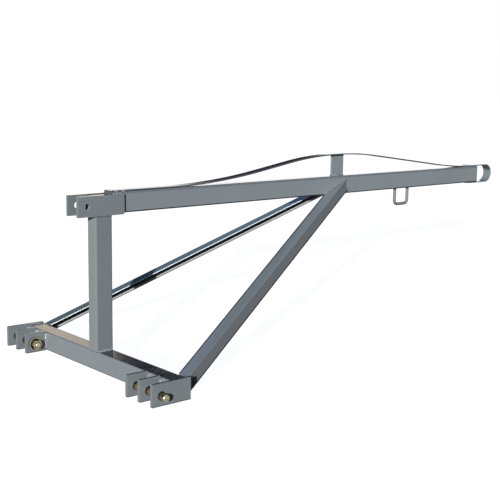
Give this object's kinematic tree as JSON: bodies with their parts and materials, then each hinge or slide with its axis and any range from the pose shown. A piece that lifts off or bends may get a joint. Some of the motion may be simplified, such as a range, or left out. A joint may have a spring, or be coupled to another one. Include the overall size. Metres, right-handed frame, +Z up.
{
  "type": "three-point boom pole",
  "caption": "Three-point hitch boom pole: lugged crossmember, mast with top-link clevis, braced boom with a strap over a post, end eye, chain loop and hitch pins.",
  "frame": {"origin": "midway along the lower hitch axis, on the axis of the lug holes", "axes": "+X along the boom, away from the tractor; +Y across the implement, towards the far side in the picture; +Z up"},
  "size_m": [2.1333, 0.932, 0.6621],
  "materials": {
    "grey_powder_coat": "semi-gloss grey powder coat",
    "yellow_zinc": "yellow zinc plating"
  },
  "bodies": {
    "frame": {"crossmember": "grey_powder_coat", "mast": "grey_powder_coat", "mast_cap": "grey_powder_coat", "boom": "grey_powder_coat", "clevis_plate_near": "grey_powder_coat", "clevis_plate_far": "grey_powder_coat", "brace_near": "grey_powder_coat", "brace_far": "grey_powder_coat", "truss_strap": "grey_powder_coat", "strut_post": "grey_powder_coat", "end_eye": "grey_powder_coat", "chain_loop": "grey_powder_coat", "lug_near_outer": "grey_powder_coat", "lug_near_middle": "grey_powder_coat", "lug_near_inner": "grey_powder_coat", "lug_far_outer": "grey_powder_coat", "lug_far_middle": "grey_powder_coat", "lug_far_inner": "grey_powder_coat"},
    "pin_near": {"hitch_pin_near": "yellow_zinc", "pin_washer_near": "yellow_zinc", "pin_nut_near": "yellow_zinc"},
    "pin_far": {"hitch_pin_far": "yellow_zinc", "pin_washer_far": "yellow_zinc", "pin_nut_far": "yellow_zinc"}
  },
  "joints": [
    {"name": "pin_near_slide", "type": "slide", "parent": "frame", "child": "pin_near", "axis": [0, 1, 0], "range_m": [0, 0.15]},
    {"name": "pin_far_slide", "type": "slide", "parent": "frame", "child": "pin_far", "axis": [0, -1, 0], "range_m": [0, 0.15]}
  ]
}
